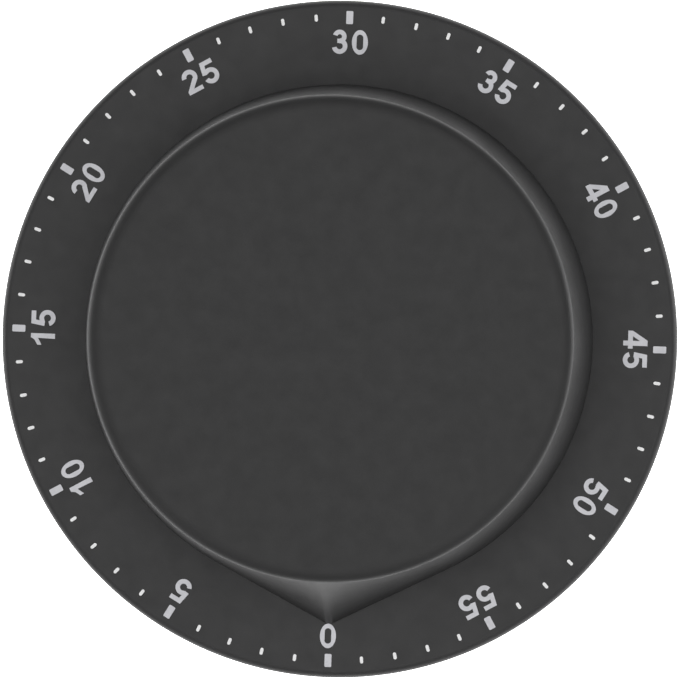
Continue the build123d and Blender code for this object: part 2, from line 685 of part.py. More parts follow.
def tail_angle():
    """Polar angle where the hammer tail touches past the strike cam."""
    return HAMMER_ANGLE - math.degrees(math.acos((CAM_R + TAIL_GAP + TAIL_HALF_W) / HAMMER_ORBIT_R))


def hammer_arbor():
    """Hammer pivot."""
    shaft = disc(PIVOT_R, BACK_PLATE_Z[0], FRONT_PLATE_Z[1], HAMMER)
    return shaft + disc(ARBOR_R, BACK_PLATE_Z[1] + END_SHAKE, FRONT_PLATE_Z[0] - END_SHAKE, HAMMER)


def hammer_lever():
    """Two armed lever: one arm to the head rod, one to the strike cam."""
    tail = polar(CAM_R + TAIL_GAP + TAIL_HALF_W, tail_angle())
    lever = bar(HAMMER, HEAD, 1.1, *HAMMER_Z) + bar(HAMMER, tail, TAIL_HALF_W, *HAMMER_Z)
    lever += disc(1.9, HAMMER_Z[0] - 0.5, HAMMER_Z[1], HAMMER)
    return lever - disc(ARBOR_R, 14.0, 16.0, HAMMER) - disc(0.6, *HAMMER_Z, HEAD)


def hammer_head():
    """Turned rod and striking head."""
    rod = disc(0.9, HEAD_Z[1], HAMMER_Z[0], HEAD) + disc(0.6, HAMMER_Z[0], HAMMER_Z[1] + 0.2, HEAD)
    head = chamfer(disc(HEAD_R, *HEAD_Z, HEAD).edges().filter_by(GeomType.CIRCLE), 0.3)
    return head + rod


def hammer_spring():
    """Torsion spring round the hammer arbor with one long leg."""
    wire_r = 0.2
    coil_r = 1.5
    coil_z = HAMMER_Z[1] + wire_r + 0.02
    path = Helix(0.5, 1.75, coil_r)
    coil = sweep(Plane(path @ 0, z_dir=path % 0) * Circle(wire_r), path)
    end = path @ 1
    leg = Plane(end, z_dir=path % 1) * Cylinder(wire_r, 6.0, align=(Align.CENTER, Align.CENTER, Align.MIN))
    return Pos(HAMMER[0], HAMMER[1], coil_z) * Rot(0, 0, 20) * (coil + leg)


NODES = (
    front_housing, base_housing, rubber_feet, magnets, housing_screws, movement_screws,
    minute_marks, five_minute_marks, scale_numerals, knob, knob_clip, back_plate, front_plate,
    plate_pillars, pillar_nuts, mainspring, main_arbor, main_wheel, clutch_washer, strike_cam,
    second_arbor, second_wheel, third_arbor, third_wheel, escape_arbor, escape_wheel, pallet_arbor,
    pallet_lever, pallet_pins, gong, gong_screw, hammer_arbor, hammer_lever, hammer_head,
    hammer_spring,
)

for node in NODES:
    save(node.__name__, node())
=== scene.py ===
import sys
import logging
import math
from collections.abc import Callable
from dataclasses import dataclass
from enum import Enum

import bmesh
import bpy
from mathutils import Matrix, Vector


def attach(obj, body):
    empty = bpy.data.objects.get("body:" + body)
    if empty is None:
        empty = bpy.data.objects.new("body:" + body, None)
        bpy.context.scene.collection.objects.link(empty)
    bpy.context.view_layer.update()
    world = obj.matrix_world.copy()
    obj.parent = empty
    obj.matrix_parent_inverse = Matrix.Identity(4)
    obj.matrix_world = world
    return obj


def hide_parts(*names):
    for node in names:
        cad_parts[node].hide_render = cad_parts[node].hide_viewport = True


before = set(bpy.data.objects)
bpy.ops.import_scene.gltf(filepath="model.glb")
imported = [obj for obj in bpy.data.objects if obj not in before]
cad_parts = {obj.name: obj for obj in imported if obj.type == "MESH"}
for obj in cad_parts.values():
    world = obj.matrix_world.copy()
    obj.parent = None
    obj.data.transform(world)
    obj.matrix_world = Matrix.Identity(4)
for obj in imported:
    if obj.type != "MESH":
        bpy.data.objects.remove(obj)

LOG = logging.getLogger("timer")
MM = 0.001
WELD = 0.002 * MM
SLIVER = 0.001 * MM
ROUND_STEPS = 360
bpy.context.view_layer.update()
Colour = tuple[float, float, float]
Profile = list[tuple[float, float]]


class Grain(Enum):
    """Direction of the fine lines that a tool leaves in a metal face."""

    ALONG_X = (4.0, 90.0, 90.0)
    ALONG_Z = (90.0, 90.0, 4.0)
    TURNED = (1.0, 1.0, 1.0)


class ShaderBench:
    """One material under construction, with short calls for the nodes that the finishes share."""

    def __init__(self, name: str) -> None:
        """Start a material with its Principled shader.

        Args:
            name: Name of the material.
        """
        self.material = bpy.data.materials.new(name)
        self.material.use_nodes = True
        self.tree = self.material.node_tree
        self.shader = self.tree.nodes["Principled BSDF"]
        self.place = self.tree.nodes.new("ShaderNodeTexCoord").outputs["Object"]

    def constant(self, socket: str, value: float) -> None:
        """Set one shader socket that is the same all over."""
        self.shader.inputs[socket].default_value = value

    def stretched(self, scale: tuple[float, float, float]) -> bpy.types.NodeSocket:
        """Coordinates that run faster across a grain than along it.

        Args:
            scale: Factor for each axis.

        Returns:
            The stretched coordinates.
        """
        node = self.tree.nodes.new("ShaderNodeMapping")
        node.inputs["Scale"].default_value = scale
        self.tree.links.new(self.place, node.inputs["Vector"])
        return node.outputs["Vector"]

    def noise(self, scale: float, detail: float, rough: float,
              place: bpy.types.NodeSocket | None = None) -> bpy.types.NodeSocket:
        """Fractal noise in the piece's own space.

        Args:
            scale: Features per metre.
            detail: Octaves.
            rough: Share of the finer octaves.
            place: Coordinates, or the piece's own where none are given.

        Returns:
            A value from 0 to 1.
        """
        node = self.tree.nodes.new("ShaderNodeTexNoise")
        node.inputs["Scale"].default_value = scale
        node.inputs["Detail"].default_value = detail
        node.inputs["Roughness"].default_value = rough
        self.tree.links.new(place or self.place, node.inputs["Vector"])
        return node.outputs["Fac"]

    def spread(self, value: bpy.types.NodeSocket, low: float, high: float, to_low: float,
               to_high: float) -> bpy.types.NodeSocket:
        """Map a value from one span to another, clamped.

        Args:
            value: The value.
            low: Start of its span.
            high: End of its span.
            to_low: Result at the start.
            to_high: Result at the end.

        Returns:
            The mapped value.
        """
        node = self.tree.nodes.new("ShaderNodeMapRange")
        self.tree.links.new(value, node.inputs["Value"])
        for socket, number in zip(("From Min", "From Max", "To Min", "To Max"), (low, high, to_low, to_high)):
            node.inputs[socket].default_value = number
        return node.outputs["Result"]

    def sum_of(self, one: bpy.types.NodeSocket, two: bpy.types.NodeSocket, kind: str = "ADD"
               ) -> bpy.types.NodeSocket:
        """Join two values.

        Args:
            one: First value.
            two: Second value.
            kind: Name of the arithmetic.

        Returns:
            The result.
        """
        node = self.tree.nodes.new("ShaderNodeMath")
        node.operation = kind
        self.tree.links.new(one, node.inputs[0])
        self.tree.links.new(two, node.inputs[1])
        return node.outputs["Value"]

    def reach(self) -> bpy.types.NodeSocket:
        """Distance from the main axis, in metres."""
        flat = self.stretched((1.0, 1.0, 0.0))
        node = self.tree.nodes.new("ShaderNodeVectorMath")
        node.operation = "LENGTH"
        self.tree.links.new(flat, node.inputs[0])
        return node.outputs["Value"]

    def colour(self, mask: bpy.types.NodeSocket, one: Colour, two: Colour) -> bpy.types.NodeSocket:
        """Blend two colours by a mask.

        Args:
            mask: 0 gives the first colour, 1 the second.
            one: First colour.
            two: Second colour.

        Returns:
            The blended colour.
        """
        node = self.tree.nodes.new("ShaderNodeMix")
        node.data_type = "RGBA"
        ends = {"A": one, "B": two}
        for socket in node.inputs:
            if socket.type == "RGBA" and socket.name in ends:
                socket.default_value = (*ends[socket.name], 1.0)
        self.tree.links.new(mask, node.inputs["Factor"])
        return next(out for out in node.outputs if out.type == "RGBA")

    def into(self, value: bpy.types.NodeSocket, socket: str) -> None:
        """Lead a value to a shader socket."""
        self.tree.links.new(value, self.shader.inputs[socket])

    def relief(self, height: bpy.types.NodeSocket, depth: float, strength: float) -> None:
        """Fine relief of the surface.

        Args:
            height: Height from 0 to 1.
            depth: Depth of the relief in metres.
            strength: Share of the relief that shows.
        """
        node = self.tree.nodes.new("ShaderNodeBump")
        node.inputs["Distance"].default_value = depth
        node.inputs["Strength"].default_value = strength
        self.tree.links.new(height, node.inputs["Height"])
        self.tree.links.new(node.outputs["Normal"], self.shader.inputs["Normal"])


@dataclass(frozen=True)
class SoftTouchPlastic:
    """Dark moulded plastic with a matt, slightly velvety coat."""

    name: str
    tint: Colour = (0.0200, 0.0199, 0.0202)
    deep: Colour = (0.0180, 0.0179, 0.0182)
    rough: tuple[float, float] = (0.46, 0.54)
    grain: float = 0.30
    worn_reach: tuple[float, float] = (0.0, 0.0)

    def make(self) -> bpy.types.Material:
        """Mottled colour, an uneven sheen and a fine moulded grain.

        Returns:
            The material.
        """
        bench = ShaderBench(self.name)
        clouds = bench.noise(170.0, 5.0, 0.60)
        dust = bench.noise(2600.0, 3.0, 0.70)
        mask = bench.sum_of(bench.spread(clouds, 0.35, 0.65, 0.0, 0.65),
                            bench.spread(dust, 0.35, 0.70, 0.0, 0.35))
        bench.into(bench.colour(mask, self.deep, self.tint), "Base Color")
        rough = bench.spread(bench.noise(420.0, 4.0, 0.65), 0.3, 0.7, *self.rough)
        if self.worn_reach[1] > 0.0:
            low, high = self.worn_reach
            polish = bench.spread(bench.reach(), low, high, 0.0, -0.05)
            rough = bench.sum_of(rough, polish)
        bench.into(rough, "Roughness")
        bench.constant("Specular IOR Level", 0.26)
        height = bench.sum_of(bench.noise(5200.0, 2.0, 0.5), bench.spread(clouds, 0.0, 1.0, 0.0, 0.4))
        bench.relief(height, 0.00002, self.grain)
        return bench.material


@dataclass(frozen=True)
class PadInk:
    """Pad printed ink with a few thin spots."""

    name: str
    tint: Colour
    thin: Colour

    def make(self) -> bpy.types.Material:
        """Nearly even ink with speckles and a softly uneven film.

        Returns:
            The material.
        """
        bench = ShaderBench(self.name)
        film = bench.noise(900.0, 3.0, 0.6)
        specks = bench.noise(5200.0, 2.0, 0.6)
        mask = bench.sum_of(bench.spread(film, 0.40, 0.72, 0.0, 0.45),
                            bench.spread(specks, 0.58, 0.75, 0.0, 0.55))
        bench.into(bench.colour(mask, self.tint, self.thin), "Base Color")
        bench.into(bench.spread(film, 0.3, 0.7, 0.50, 0.62), "Roughness")
        bench.relief(specks, 0.00001, 0.25)
        return bench.material


@dataclass(frozen=True)
class WorkedMetal:
    """Bare, plated or blued metal with the lines of its last operation."""

    name: str
    tint: Colour
    dull: Colour
    rough: tuple[float, float]
    grain: Grain
    lines: float = 60.0
    patches: float = 220.0

    def make(self) -> bpy.types.Material:
        """Fine tool lines, a patchy oxide and a varying gloss.

        Returns:
            The material.
        """
        bench = ShaderBench(self.name)
        patches = bench.noise(self.patches, 4.0, 0.6)
        if self.grain is Grain.TURNED:
            rings = self._rings(bench)
        else:
            rings = bench.noise(self.lines, 3.0, 0.6, bench.stretched(self.grain.value))
        bench.into(bench.colour(bench.spread(patches, 0.35, 0.7, 0.0, 1.0), self.tint, self.dull), "Base Color")
        low, high = self.rough
        streak = bench.spread(rings, 0.3, 0.7, 0.0, 0.08)
        bench.into(bench.sum_of(bench.spread(patches, 0.3, 0.7, low, high), streak), "Roughness")
        bench.constant("Metallic", 1.0)
        bench.relief(rings, 0.00001, 0.35)
        return bench.material

    def _rings(self, bench: ShaderBench) -> bpy.types.NodeSocket:
        """Concentric turning lines about the main axis.

        Args:
            bench: Material under construction.

        Returns:
            A value from 0 to 1.
        """
        reach = bench.reach()
        node = bench.tree.nodes.new("ShaderNodeTexNoise")
        node.noise_dimensions = "1D"
        node.inputs["Scale"].default_value = 40.0 * self.lines
        node.inputs["Detail"].default_value = 3.0
        bench.tree.links.new(reach, node.inputs["W"])
        return node.outputs["Fac"]


@dataclass(frozen=True)
class PadRubber:
    """Dull rubber of the feet, with dust in its pores."""

    name: str
    tint: Colour = (0.020, 0.020, 0.021)
    dusty: Colour = (0.050, 0.049, 0.047)

    def make(self) -> bpy.types.Material:
        """Porous relief and pale dusty patches.

        Returns:
            The material.
        """
        bench = ShaderBench(self.name)
        pores = bench.noise(3200.0, 4.0, 0.7)
        dust = bench.noise(600.0, 4.0, 0.65)
        bench.into(bench.colour(bench.spread(dust, 0.45, 0.8, 0.0, 1.0), self.tint, self.dusty), "Base Color")
        bench.into(bench.spread(pores, 0.3, 0.7, 0.72, 0.88), "Roughness")
        bench.relief(pores, 0.00005, 0.5)
        return bench.material


class MeshBench:
    """Shared mesh work for the moulded pieces."""

    @staticmethod
    def spun(profile: Profile, steps: int, closed: bool) -> bmesh.types.BMesh:
        """Turn a profile about the main axis, with a seam half a step from the pointer.

        Args:
            profile: Radius and height pairs in millimetres.
            steps: Steps in the full turn.
            closed: Whether the profile's end joins its start.

        Returns:
            The closed shell.
        """
        bm = bmesh.new()
        turn = -math.pi / 2 + math.pi / steps
        ray = Vector((math.cos(turn), math.sin(turn), 0.0))
        verts = [bm.verts.new(ray * (r * MM) + Vector((0, 0, z * MM))) for r, z in profile]
        edges = [bm.edges.new(pair) for pair in zip(verts, verts[1:])]
        if closed:
            edges.append(bm.edges.new((verts[-1], verts[0])))
        bmesh.ops.spin(bm, geom=verts + edges, axis=(0, 0, 1), cent=(0, 0, 0), steps=steps,
                       angle=2 * math.pi, use_merge=True, use_duplicate=False)
        bmesh.ops.remove_doubles(bm, verts=bm.verts, dist=WELD)
        bmesh.ops.recalc_face_normals(bm, faces=bm.faces)
        return bm

    @staticmethod
    def arc(centre: tuple[float, float], radius: float, start: float, end: float, steps: int) -> Profile:
        """Points of a profile's round corner.

        Args:
            centre: Radius and height of its centre.
            radius: Its own radius.
            start: First angle in degrees, 0 outwards and 90 up.
            end: Last angle in degrees.
            steps: Number of spans.

        Returns:
            The points, with both ends.
        """
        angles = [math.radians(start + (end - start) * k / steps) for k in range(steps + 1)]
        return [(centre[0] + radius * math.cos(a), centre[1] + radius * math.sin(a)) for a in angles]

    @staticmethod
    def round_bar(radius: float, low: float, high: float, at: tuple[float, float], segments: int = 48
                  ) -> bpy.types.Object:
        """Upright bar used to add or cut a boss.

        Args:
            radius: Its radius in millimetres.
            low: Bottom height.
            high: Top height.
            at: Place of its axis.
            segments: Sides of its outline.

        Returns:
            A helper object.
        """
        bm = bmesh.new()
        place = Matrix.Translation((at[0] * MM, at[1] * MM, (low + high) / 2 * MM))
        bmesh.ops.create_cone(bm, cap_ends=True, segments=segments, radius1=radius * MM, radius2=radius * MM,
                              depth=(high - low) * MM, matrix=place)
        return MeshBench.helper(bm)

    @staticmethod
    def block(size: tuple[float, float, float], matrix: Matrix) -> bpy.types.Object:
        """Box used to add a rib or cut a flat.

        Args:
            size: Edge lengths in millimetres.
            matrix: Its place, in metres.

        Returns:
            A helper object.
        """
        bm = bmesh.new()
        bmesh.ops.create_cube(bm, size=1.0, matrix=matrix @ Matrix.Diagonal((*(s * MM for s in size), 1.0)))
        return MeshBench.helper(bm)

    @staticmethod
    def helper(bm: bmesh.types.BMesh) -> bpy.types.Object:
        """Wrap a mesh in a throwaway object.

        Args:
            bm: The mesh, which is used up.

        Returns:
            The object.
        """
        mesh = bpy.data.meshes.new("helper")
        bm.to_mesh(mesh)
        bm.free()
        thing = bpy.data.objects.new("helper", mesh)
        bpy.context.scene.collection.objects.link(thing)
        return thing

    @staticmethod
    def joined(piece: bpy.types.Object, tools: list[bpy.types.Object], cut: bool) -> None:
        """Add helpers to a piece or cut them out of it, then remove the helpers.

        Args:
            piece: The piece, whose mesh is replaced.
            tools: Helper objects.
            cut: True to cut, False to add.
        """
        group = bpy.data.collections.new("helpers")
        for tool in tools:
            group.objects.link(tool)
        step = piece.modifiers.new("join", "BOOLEAN")
        step.operand_type = "COLLECTION"
        step.collection = group
        step.operation = "DIFFERENCE" if cut else "UNION"
        step.solver = "MANIFOLD"
        bpy.context.view_layer.update()
        shape = piece.evaluated_get(bpy.context.evaluated_depsgraph_get())
        mesh = bpy.data.meshes.new_from_object(shape)
        piece.modifiers.clear()
        old = piece.data
        piece.data = mesh
        bpy.data.meshes.remove(old)
        for tool in tools:
            data = tool.data
            bpy.data.objects.remove(tool)
            bpy.data.meshes.remove(data)
        bpy.data.collections.remove(group)

    @staticmethod
    def finished(piece: bpy.types.Object, name: str, material: bpy.types.Material,
                 crease: float = 32.0) -> None:
        """Name a piece, weld it, shade it smooth up to its real corners and dress it.

        Args:
            piece: The piece.
            name: Its final name.
            material: Its finish.
            crease: Angle in degrees above which an edge stays sharp.
        """
        piece.name = name
        piece.data.name = name
        piece.data.materials.clear()
        piece.data.materials.append(material)
        bm = bmesh.new()
        bm.from_mesh(piece.data)
        bmesh.ops.remove_doubles(bm, verts=bm.verts, dist=WELD)
        bmesh.ops.dissolve_degenerate(bm, edges=bm.edges, dist=SLIVER)
        for face in bm.faces:
            face.smooth = True
        limit = math.radians(crease)
        for edge in bm.edges:
            edge.smooth = len(edge.link_faces) == 2 and edge.calc_face_angle(0.0) < limit
        bm.to_mesh(piece.data)
        bm.free()


@dataclass(frozen=True)
class BossRing:
    """Equal screw bosses on a pitch circle, in millimetres."""

    pitch_r: float
    boss_r: float
    bore_r: float
    angles: tuple[int, ...]

    def bars(self, radius: float, low: float, high: float) -> list[bpy.types.Object]:
        """One upright bar at each place.

        Args:
            radius: Radius of a bar, as the boss or as its bore.
            low: Bottom height.
            high: Top height.

        Returns:
            Helper objects.
        """
        turns = [math.radians(angle) for angle in self.angles]
        spots = [(self.pitch_r * math.cos(turn), self.pitch_r * math.sin(turn)) for turn in turns]
        return [MeshBench.round_bar(radius, low, high, spot) for spot in spots]


@dataclass
class DialHousing:
    """Dial ring with its rounded rim, tapered skirt and hidden screw bosses, in millimetres."""

    rim_r: float = 42.5
    face_z: float = 21.0
    face_t: float = 2.0
    edge_r: float = 0.9
    foot_r: float = 41.3
    foot_z: float = 13.0
    inner_r: float = 39.5
    bore_r: float = 5.5
    lead: float = 0.12
    rim_steps: int = 14
    face_rings: tuple[float, ...] = (20.0, 31.0, 34.0, 37.0, 39.5)
    foot_rise: float = 0.25
    foot_out: float = 0.10
    foot_in: float = 0.15
    inner_ease: float = 0.1
    case_boss: BossRing = BossRing(34.0, 3.0, 1.1, (45, 135, 225, 315))
    case_boss_z: float = 8.0
    movement_boss: BossRing = BossRing(24.0, 2.6, 0.9, (80, 200, 320))
    movement_boss_h: float = 2.2
    movement_cap: float = 0.8
    boss_root: float = 0.4
    overcut: float = 1.0
    finish: SoftTouchPlastic = SoftTouchPlastic("dial_plastic", tint=(0.0262, 0.0260, 0.0265),
                                                deep=(0.0238, 0.0236, 0.0241))

    @property
    def under_z(self) -> float:
        """Height of the face's inside."""
        return self.face_z - self.face_t

    def profile(self) -> Profile:
        """Closed section of the ring and skirt.

        Returns:
            Radius and height pairs.
        """
        lean = math.degrees(math.atan2(self.rim_r - self.foot_r, self.face_z - self.edge_r - self.foot_z))
        centre = (self.rim_r - self.edge_r, self.face_z - self.edge_r)
        rings = (self.bore_r, *self.face_rings, centre[0] - self.lead)
        rim = MeshBench.arc(centre, self.edge_r, 90.0, -lean, self.rim_steps)
        foot = [(self.foot_r + self.foot_out, self.foot_z + self.foot_rise),
                (self.foot_r - self.foot_in, self.foot_z)]
        inside = [(self.inner_r + self.inner_ease, self.foot_z), (self.inner_r, self.foot_z + self.inner_ease),
                  (self.inner_r, self.under_z), (self.bore_r, self.under_z)]
        return [(r, self.face_z) for r in rings] + rim + foot + inside

    def build(self) -> bpy.types.Object:
        """Make the housing and put it in the place of its CAD node.

        Returns:
            The piece.
        """
        piece = MeshBench.helper(MeshBench.spun(self.profile(), ROUND_STEPS, True))
        case, movement, under = self.case_boss, self.movement_boss, self.under_z
        top = self.face_z + self.movement_boss_h
        low = self.case_boss_z
        MeshBench.joined(piece, case.bars(case.boss_r, low, under + self.boss_root), False)
        MeshBench.joined(piece, movement.bars(movement.boss_r, self.face_z - self.boss_root, top), False)
        MeshBench.joined(piece, case.bars(case.bore_r, low - self.overcut, under - self.overcut), True)
        MeshBench.joined(piece, movement.bars(movement.bore_r, under - self.overcut, top - self.movement_cap),
                         True)
        MeshBench.finished(piece, "dial_housing", self.finish.make())
        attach(piece, "case")
        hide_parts("front_housing")
        return piece


@dataclass
class TurningKnob:
    """Flat topped knob whose wall runs out to a pointer, in millimetres."""

    base_r: float = 31.92
    base_z: float = 21.3
    top_z: float = 35.2
    taper: float = 6.3
    edge_w: float = 2.0
    edge_h: float = 1.0
    pointer_r: float = 35.65
    tip_half: float = 0.42
    wall_t: float = 1.9
    cavity_z: float = 33.1
    cavity_lip: float = 0.8
    hub_r: float = 4.6
    hub_z: float = 21.9
    arbor_r: float = 2.0
    arbor_end_z: float = 27.6
    rib_z: float = 24.4
    rib_t: float = 1.2
    ribs: int = 6
    edge_steps: int = 18
    wall_steps: int = 10
    flat_rings: tuple[float, ...] = (0.0, 8.0, 16.0, 22.0, 26.0)
    flat_lead: float = 0.15
    tip_blend: float = 0.02
    pointer_span: float = 0.6
    ridge: tuple[float, ...] = (0.58, 0.80, 1.6)
    snap: float = 0.003
    rib_root: float = 0.3
    overcut: float = 1.0
    key_size: tuple[float, float, float] = (6.0, 2.8, 9.0)
    key_gap: float = 0.9
    key_z: float = 24.5
    finish: SoftTouchPlastic = SoftTouchPlastic("knob_plastic", worn_reach=(0.0292, 0.0308))

    def edge_point(self, swing: float) -> tuple[float, float]:
        """Point of the rolled edge at a parameter angle, 0 outwards and a quarter turn up."""
        return self.centre[0] + self.edge_w * math.cos(swing), self.centre[1] + self.edge_h * math.sin(swing)

    def swing(self, lean: float) -> float:
        """Parameter angle at which the edge runs parallel to a leaning wall."""
        return math.atan(self.edge_h / self.edge_w * math.tan(lean))

    @property
    def centre(self) -> tuple[float, float]:
        """Centre of the edge's ellipse, as radius and height."""
        lean = math.radians(self.taper)
        swing = self.swing(lean)
        high = self.top_z - self.edge_h
        foot_z = high + self.edge_h * math.sin(swing)
        foot_r = self.base_r - (foot_z - self.base_z) * math.tan(lean)
        return foot_r - self.edge_w * math.cos(swing), high

    def lean(self, foot_r: float) -> float:
        """Angle between the upright and a wall that leaves the rolled edge for a point of the base.

        Args:
            foot_r: Radius of the base there.

        Returns:
            The angle in radians.
        """
        low, high = 0.0, math.radians(60.0)
        out, drop = foot_r - self.centre[0], self.centre[1] - self.base_z
        for _ in range(40):
            middle = (low + high) / 2
            reach = math.hypot(self.edge_w * math.cos(middle), self.edge_h * math.sin(middle))
            if out * math.cos(middle) - drop * math.sin(middle) > reach:
                low = middle
            else:
                high = middle
        return (low + high) / 2

    def foot(self, turn: float) -> float:
        """Radius of the base outline: a circle, its two tangents and a blunt tip.

        Args:
            turn: Angle from the pointer in radians.

        Returns:
            The radius.
        """
        swing = math.acos(self.base_r / self.pointer_r) + self.tip_half / self.pointer_r
        turn = abs(turn)
        if turn >= swing:
            return self.base_r
        side = self.base_r / math.cos(swing - turn)
        tip = self.pointer_r / math.cos(turn)
        blend = max(0.0, self.tip_blend - abs(side - tip)) / self.tip_blend
        return min(side, tip) - blend * blend * self.tip_blend / 4

    def outside(self, foot_r: float) -> Profile:
        """Edge and wall over one point of the base.

        Args:
            foot_r: Radius of the base there.

        Returns:
            Radius and height pairs, from the flat top down to the base.
        """
        end = self.swing(self.lean(foot_r))
        swings = [math.pi / 2 + (end - math.pi / 2) * k / self.edge_steps for k in range(self.edge_steps + 1)]
        edge = [self.edge_point(swing) for swing in swings]
        start = edge[-1]
        shares = [k / self.wall_steps for k in range(1, self.wall_steps + 1)]
        return edge + [(start[0] + (foot_r - start[0]) * k, start[1] + (self.base_z - start[1]) * k)
                       for k in shares]

    def cavity(self) -> Profile:
        """Section of the hollow underside.

        Returns:
            Radius and height pairs, from the wall to the axis.
        """
        inner = self.base_r - self.wall_t
        top_r = inner - (self.cavity_z - self.base_z) * math.tan(math.radians(self.taper))
        return [(inner, self.base_z), (top_r, self.cavity_z - self.cavity_lip),
                (top_r - self.cavity_lip, self.cavity_z), (0.0, self.cavity_z)]

    def row_at(self, spot: tuple[float, float], wall: Profile) -> int | None:
        """Place of a point in the section of the round wall.

        Args:
            spot: Radius and height of the point.
            wall: The section.

        Returns:
            Its index, or None where the point isn't on the wall.
        """
        return next((k for k, (r, z) in enumerate(wall) if abs(r - spot[0]) + abs(z - spot[1]) < self.snap),
                    None)

    def column(self, degrees: float) -> float:
        """Angle that a column of the even turn moves to, so that three stand close beside the ridge.

        Args:
            degrees: Angle of the column from the pointer, half a step and whole steps of one degree.

        Returns:
            The new angle in degrees.
        """
        index = round(degrees - 0.5)
        return self.ridge[index] if index < len(self.ridge) else index + 0.5

    def shell(self) -> bmesh.types.BMesh:
        """Spin the round knob and lean its wall out to the pointer.

        Returns:
            The closed shell.
        """
        flat = [(r, self.top_z) for r in (*self.flat_rings, self.centre[0] - self.flat_lead)]
        round_wall = self.outside(self.base_r)
        bm = MeshBench.spun(flat + round_wall + self.cavity(), ROUND_STEPS, False)
        for vert in bm.verts:
            turn = math.atan2(vert.co.x, -vert.co.y)
            spot = (math.hypot(vert.co.x, vert.co.y) / MM, vert.co.z / MM)
            row = self.row_at(spot, round_wall)
            if row is None or abs(turn) > self.pointer_span:
                continue
            turn = math.copysign(math.radians(self.column(abs(math.degrees(turn)))), turn)
            r, z = self.outside(self.foot(turn))[row]
            vert.co = Vector((math.sin(turn) * r, -math.cos(turn) * r, z)) * MM
        return bm

    def inside(self, piece: bpy.types.Object) -> None:
        """Add the hub and ribs and cut the arbor's keyed bore.

        Args:
            piece: The hollow knob.
        """
        top = self.cavity_z + self.rib_root
        parts = [MeshBench.round_bar(self.hub_r, self.hub_z, top, (0.0, 0.0), 72)]
        length = self.cavity()[1][0] + self.rib_root
        for index in range(self.ribs // 2):
            turn = Matrix.Rotation(math.radians(30 + 180 * index / (self.ribs // 2)), 4, "Z")
            place = turn @ Matrix.Translation((0, 0, (self.rib_z + top) / 2 * MM))
            parts.append(MeshBench.block((2 * length, self.rib_t, top - self.rib_z), place))
        MeshBench.joined(piece, parts, False)
        bore = MeshBench.round_bar(self.arbor_r, self.base_z - self.overcut, self.arbor_end_z, (0.0, 0.0), 72)
        place = Matrix.Translation((0, (self.arbor_r + self.key_gap) * MM, self.key_z * MM))
        MeshBench.joined(bore, [MeshBench.block(self.key_size, place)], True)
        MeshBench.joined(piece, [bore], True)

    def build(self) -> bpy.types.Object:
        """Make the knob and put it in the place of its CAD node.

        Returns:
            The piece.
        """
        piece = MeshBench.helper(self.shell())
        self.inside(piece)
        MeshBench.finished(piece, "turning_knob", self.finish.make(), 40.0)
        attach(piece, "dial")
        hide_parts("knob")
        return piece


@dataclass
class DialPrint:
    """Marks and figures on the ring."""

    fine: PadInk = PadInk("fine_mark_ink", (0.86, 0.86, 0.86), (0.74, 0.74, 0.75))
    broad: PadInk = PadInk("figure_ink", (0.60, 0.60, 0.63), (0.50, 0.50, 0.53))

    def build(self) -> None:
        """Dress the printed nodes."""
        dress(self.fine.make(), "minute_marks")
        dress(self.broad.make(), "five_minute_marks", "scale_numerals")


@dataclass
class RearCase:
    """Rear cup with its feet, magnets and screws."""

    plastic: SoftTouchPlastic = SoftTouchPlastic("rear_plastic", rough=(0.50, 0.60), grain=0.45)
    rubber: PadRubber = PadRubber("foot_rubber")
    plating: WorkedMetal = WorkedMetal("magnet_plating", (0.72, 0.71, 0.69), (0.55, 0.54, 0.53),
                                       (0.20, 0.34), Grain.TURNED)
    screws: WorkedMetal = WorkedMetal("screw_steel", (0.58, 0.58, 0.60), (0.40, 0.40, 0.42),
                                      (0.28, 0.42), Grain.TURNED)

    def build(self) -> None:
        """Dress the nodes at the back."""
        dress(self.plastic.make(), "base_housing")
        dress(self.rubber.make(), "rubber_feet")
        dress(self.plating.make(), "magnets")
        dress(self.screws.make(), "housing_screws", "movement_screws", "gong_screw", "pillar_nuts")


@dataclass
class Movement:
    """Clockwork, gong and hammer inside the case."""

    plates: WorkedMetal = WorkedMetal("plate_steel", (0.62, 0.62, 0.61), (0.50, 0.49, 0.47),
                                      (0.26, 0.38), Grain.ALONG_X)
    arbors: WorkedMetal = WorkedMetal("arbor_steel", (0.66, 0.66, 0.67), (0.52, 0.52, 0.54),
                                      (0.18, 0.30), Grain.ALONG_Z)
    springs: WorkedMetal = WorkedMetal("blued_spring", (0.10, 0.13, 0.24), (0.17, 0.15, 0.20),
                                       (0.22, 0.34), Grain.ALONG_Z)
    brass: WorkedMetal = WorkedMetal("wheel_brass", (0.80, 0.58, 0.25), (0.62, 0.43, 0.18),
                                     (0.22, 0.36), Grain.ALONG_X)
    nickel: WorkedMetal = WorkedMetal("gong_nickel", (0.70, 0.69, 0.65), (0.58, 0.56, 0.52),
                                      (0.16, 0.28), Grain.TURNED)

    def build(self) -> None:
        """Dress the nodes of the movement."""
        dress(self.plates.make(), "back_plate", "front_plate", "pallet_lever", "hammer_lever", "strike_cam")
        dress(self.arbors.make(), "plate_pillars", "main_arbor", "second_arbor", "third_arbor",
              "escape_arbor", "pallet_arbor", "pallet_pins", "hammer_arbor", "hammer_head")
        dress(self.springs.make(), "mainspring", "clutch_washer", "hammer_spring", "knob_clip")
        dress(self.brass.make(), "main_wheel", "second_wheel", "third_wheel", "escape_wheel")
        dress(self.nickel.make(), "gong")


